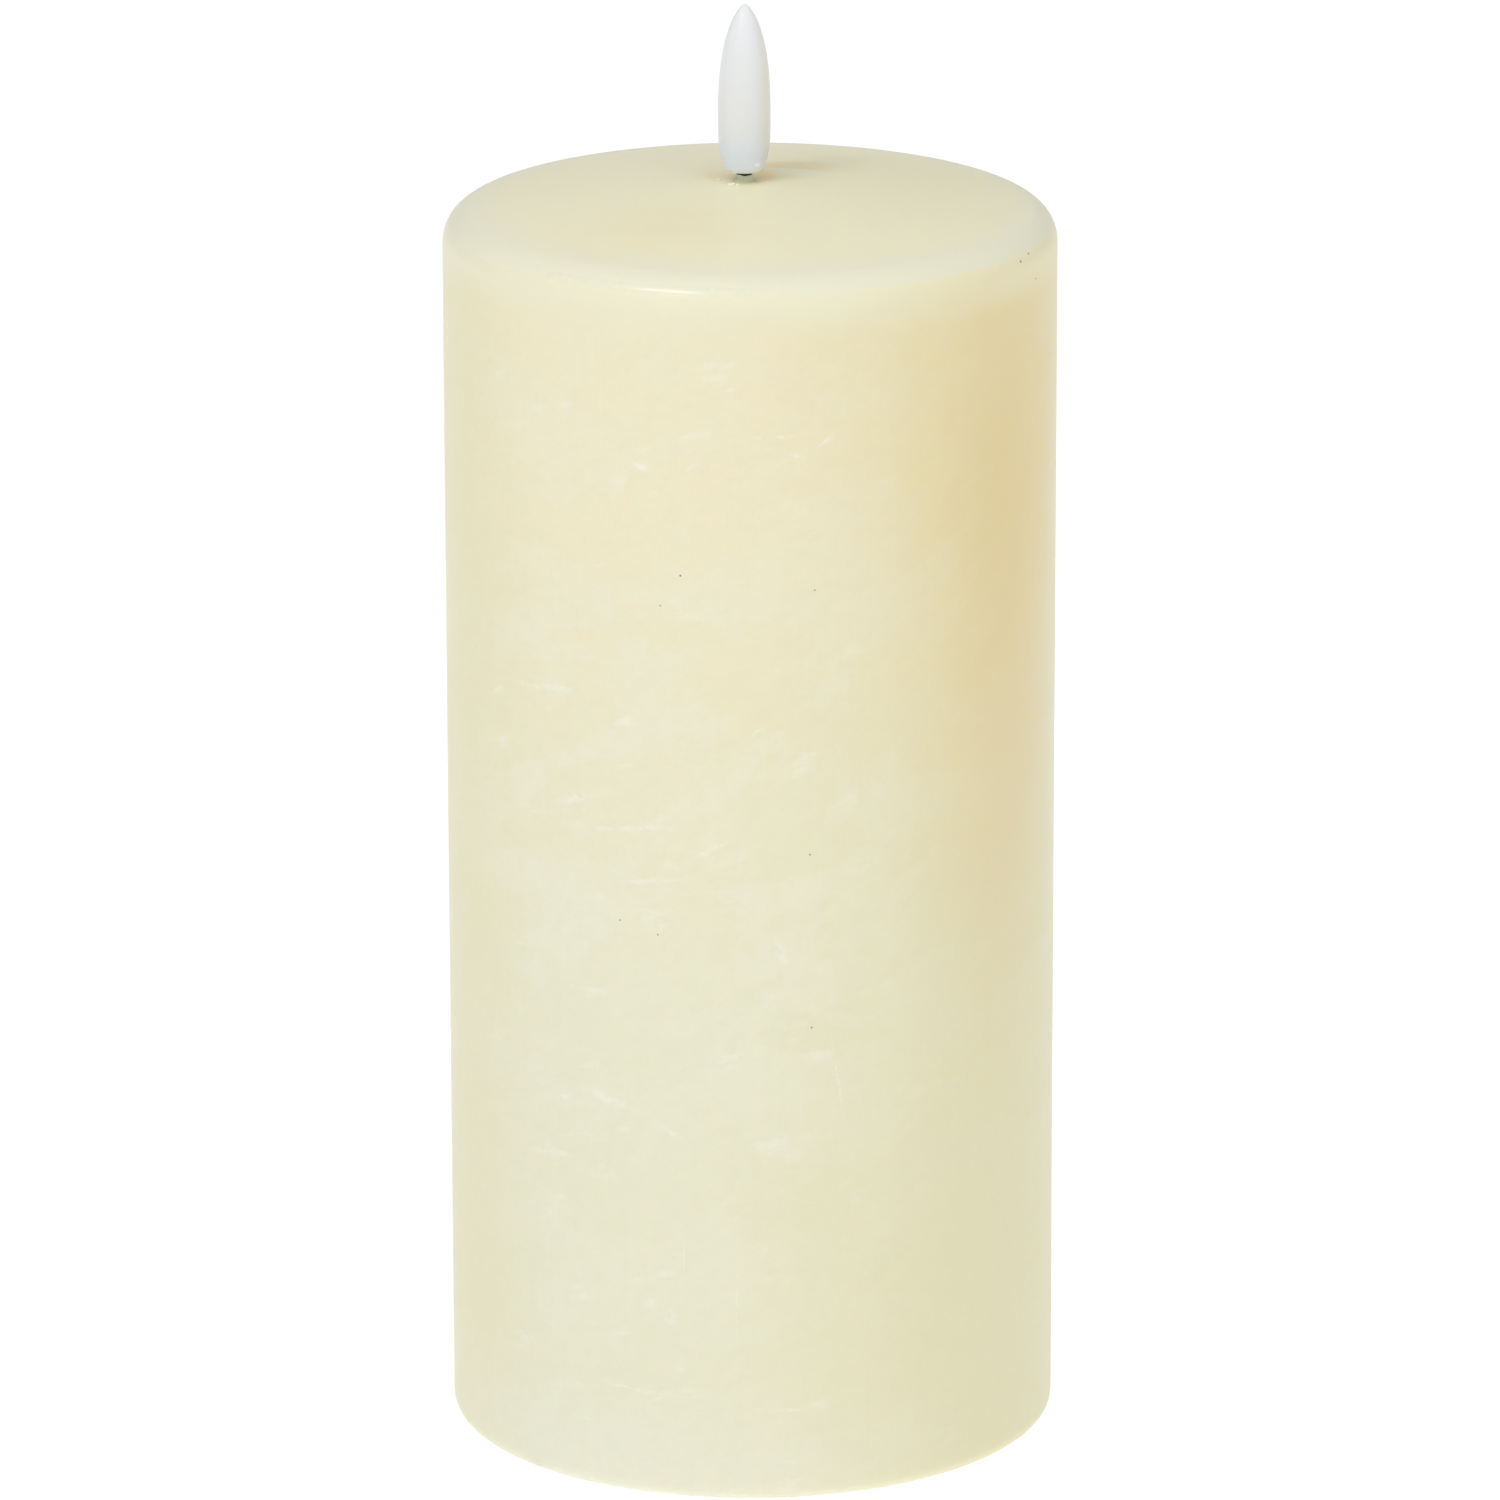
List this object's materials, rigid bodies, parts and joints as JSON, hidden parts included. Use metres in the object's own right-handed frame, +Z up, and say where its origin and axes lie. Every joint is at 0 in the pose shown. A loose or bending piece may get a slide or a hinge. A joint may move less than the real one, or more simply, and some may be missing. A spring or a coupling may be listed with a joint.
{
  "type": "flameless led candle",
  "caption": "Ivory wax pillar candle with a domed top and a milky bullet-shaped LED flame on a short black wick, over a battery module with a hinged door and a slide switch.",
  "frame": {"origin": "centre of the flat ring that the wax stands on", "axes": "+Z up along the pillar's axis, +X across the front to the right as seen from -Y; the battery door's hinge is on the -Y side of the underside and the slide switch on the +Y side"},
  "size_m": [0.075, 0.075, 0.1794],
  "materials": {
    "ivory_wax": "satin, slightly translucent wax",
    "milky_flame": "satin, milky, translucent",
    "black_sleeve": "matt",
    "clear_epoxy": "clear gloss",
    "tinned_wire": "tinned",
    "collar_plastic": "matt",
    "ivory_abs": "fine moulded texture",
    "cover_abs": "moulded",
    "zinc_screw": "zinc plated",
    "pin_steel": "drawn wire",
    "cell_jacket": "glossy sleeve, bare ends",
    "nickel_plate": "nickel plated, stamped",
    "spring_wire": "nickel plated",
    "phenolic": "matt",
    "switch_steel": "zinc plated sheet",
    "knob_black": "satin",
    "board_laminate": "solder mask",
    "chip_epoxy": "matt",
    "crystal_metal": "drawn can",
    "capacitor_sleeve": "shrunk sleeve",
    "chip_ceramic": "matt",
    "red_pvc": "insulation",
    "black_pvc": "insulation",
    "yellow_pvc": "insulation",
    "white_pvc": "insulation",
    "blue_pvc": "insulation"
  },
  "bodies": {
    "candle": {"base_tray": "ivory_abs", "battery_a": "cell_jacket", "battery_b": "cell_jacket", "battery_wire_black": "black_pvc", "battery_wire_red": "red_pvc", "board_screws": "zinc_screw", "bridge_plate": "nickel_plate", "bridge_spring": "spring_wire", "capacitor": "capacitor_sleeve", "chip_resistors": "chip_ceramic", "circuit_board": "board_laminate", "core_cover": "cover_abs", "cover_screws": "zinc_screw", "crystal_can": "crystal_metal", "door_hinge_pin": "pin_steel", "flame_shell": "milky_flame", "flame_wire_black": "black_pvc", "flame_wire_red": "red_pvc", "led_leads": "tinned_wire", "led_lens": "clear_epoxy", "negative_plate": "nickel_plate", "negative_spring": "spring_wire", "positive_plate": "nickel_plate", "switch_body": "phenolic", "switch_frame": "switch_steel", "switch_pins": "tinned_wire", "switch_screws": "zinc_screw", "switch_wire_off": "white_pvc", "switch_wire_on": "yellow_pvc", "switch_wire_timer": "blue_pvc", "timer_chip": "chip_epoxy", "wax_body": "ivory_wax", "wick_collar": "collar_plastic", "wick_sleeve": "black_sleeve"},
    "door": {"battery_door": "ivory_abs"},
    "knob": {"switch_knob": "knob_black"}
  },
  "joints": [
    {"name": "door_hinge", "type": "hinge", "parent": "candle", "child": "door", "pos_m": [0, -0.0176, 0.0019], "axis": [-1, 0, 0], "range_deg": [0, 105]},
    {"name": "switch_slide", "type": "slide", "parent": "candle", "child": "knob", "axis": [1, 0, 0], "range_m": [0, 0.004]}
  ]
}
